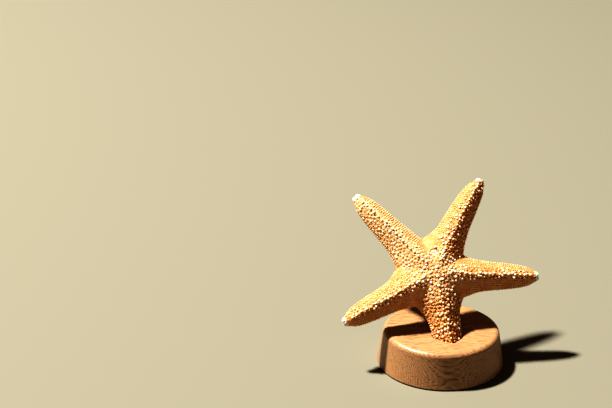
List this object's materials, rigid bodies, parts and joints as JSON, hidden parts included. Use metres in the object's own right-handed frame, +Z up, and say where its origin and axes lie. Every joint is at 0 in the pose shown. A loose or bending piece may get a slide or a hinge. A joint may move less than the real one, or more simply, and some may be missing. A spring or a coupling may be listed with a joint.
{
  "type": "starfish",
  "caption": "Dried common sea star with rough tubercled arms, leaning back on an arm tip that is set in a plain round display base.",
  "frame": {"origin": "centre of the display base's flat underside", "axes": "+Z up; the sea star's rough upper face looks towards -Y and leans back towards +Y; +X is to the right when seen from the front"},
  "size_m": [0.1003, 0.0712, 0.0827],
  "materials": {
    "skin": "dry, rough, orange-tan with pale tubercles",
    "tip_plate": "bare chalky plate",
    "sieve_plate": "bare chalky plate with fine furrows",
    "mouth_membrane": "dry, wrinkled, dark",
    "base_wood": "warm brown hardwood, waxed"
  },
  "bodies": {
    "root": {"disc": "skin", "arm_right": "skin", "arm_upper_right": "skin", "arm_upper_left": "skin", "arm_lower_left": "skin", "arm_foot": "skin", "tip_right": "tip_plate", "tip_upper_right": "tip_plate", "tip_upper_left": "tip_plate", "tip_lower_left": "tip_plate", "tip_foot": "tip_plate", "madreporite": "sieve_plate", "mouth": "mouth_membrane", "stand_base": "base_wood"}
  },
  "joints": []
}
